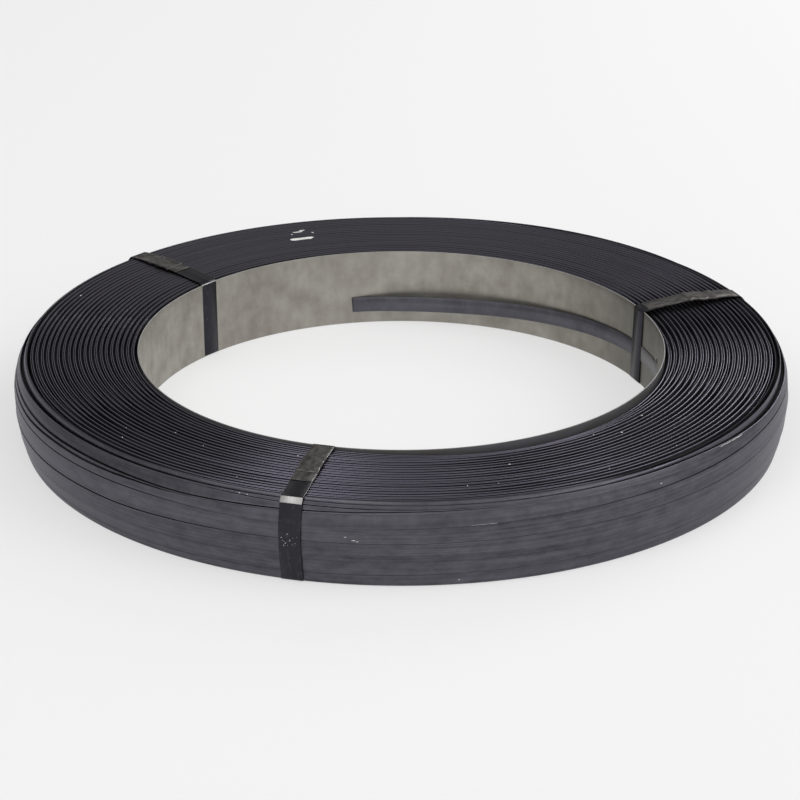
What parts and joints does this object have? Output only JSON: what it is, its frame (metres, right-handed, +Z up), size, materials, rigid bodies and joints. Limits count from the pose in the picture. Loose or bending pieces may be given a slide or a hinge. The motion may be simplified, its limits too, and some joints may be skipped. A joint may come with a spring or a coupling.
{
  "type": "steel strip coil",
  "caption": "Coil of black steel strapping on a bare steel core sleeve, ridged on its ends, held by crimped tie straps.",
  "frame": {"origin": "coil axis at the level of the tie straps' undersides, which the coil rests on", "axes": "+Z up along the coil's axis; the picture looks along +Y"},
  "size_m": [0.5986, 0.5986, 0.0672],
  "materials": {
    "black_strip": "satin",
    "bare_steel": "satin",
    "black_strap": "satin",
    "seal_steel": "satin"
  },
  "bodies": {
    "root": {"strip_coil": "black_strip", "core_sleeve": "bare_steel", "strap_front": "black_strap", "strap_left": "black_strap", "strap_right": "black_strap", "seal_front": "seal_steel", "seal_left": "seal_steel", "seal_right": "seal_steel"}
  },
  "joints": []
}
